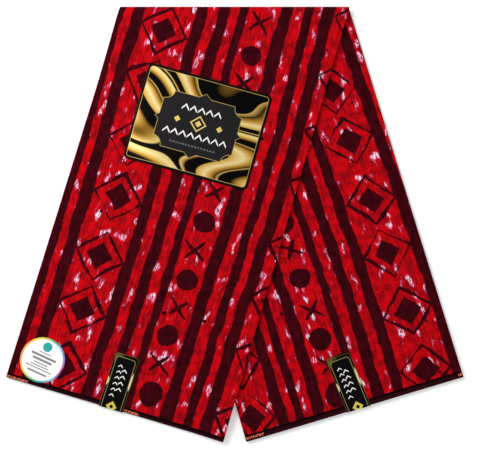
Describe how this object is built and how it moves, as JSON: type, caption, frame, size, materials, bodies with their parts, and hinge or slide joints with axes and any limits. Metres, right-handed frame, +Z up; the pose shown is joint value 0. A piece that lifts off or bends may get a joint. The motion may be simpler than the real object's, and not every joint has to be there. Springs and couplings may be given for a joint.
{
  "type": "folded length of wax print fabric",
  "caption": "Pleated length of cotton wax print cloth, folded over on a slant so that its two legs spread, laid flat with paper labels.",
  "frame": {"origin": "on the surface the cloth lies on, under the middle of the part's box", "axes": "+Z up out of the surface, +Y towards the top fold, +X along the top fold towards the back leg's side"},
  "size_m": [0.618, 0.598, 0.0144],
  "materials": {
    "wax_print_cotton": "plain woven cotton, calendered, red and dark aubergine wax print on both faces",
    "foil_card": "varnished black card printed with gold bands",
    "white_sticker_paper": "coated white sticker paper with a coloured rim"
  },
  "bodies": {
    "root": {"front_stretch": "wax_print_cotton", "top_fold": "wax_print_cotton", "back_stretch": "wax_print_cotton", "large_label": "foil_card", "front_ticket": "foil_card", "back_ticket": "foil_card", "round_sticker": "white_sticker_paper"}
  },
  "joints": []
}
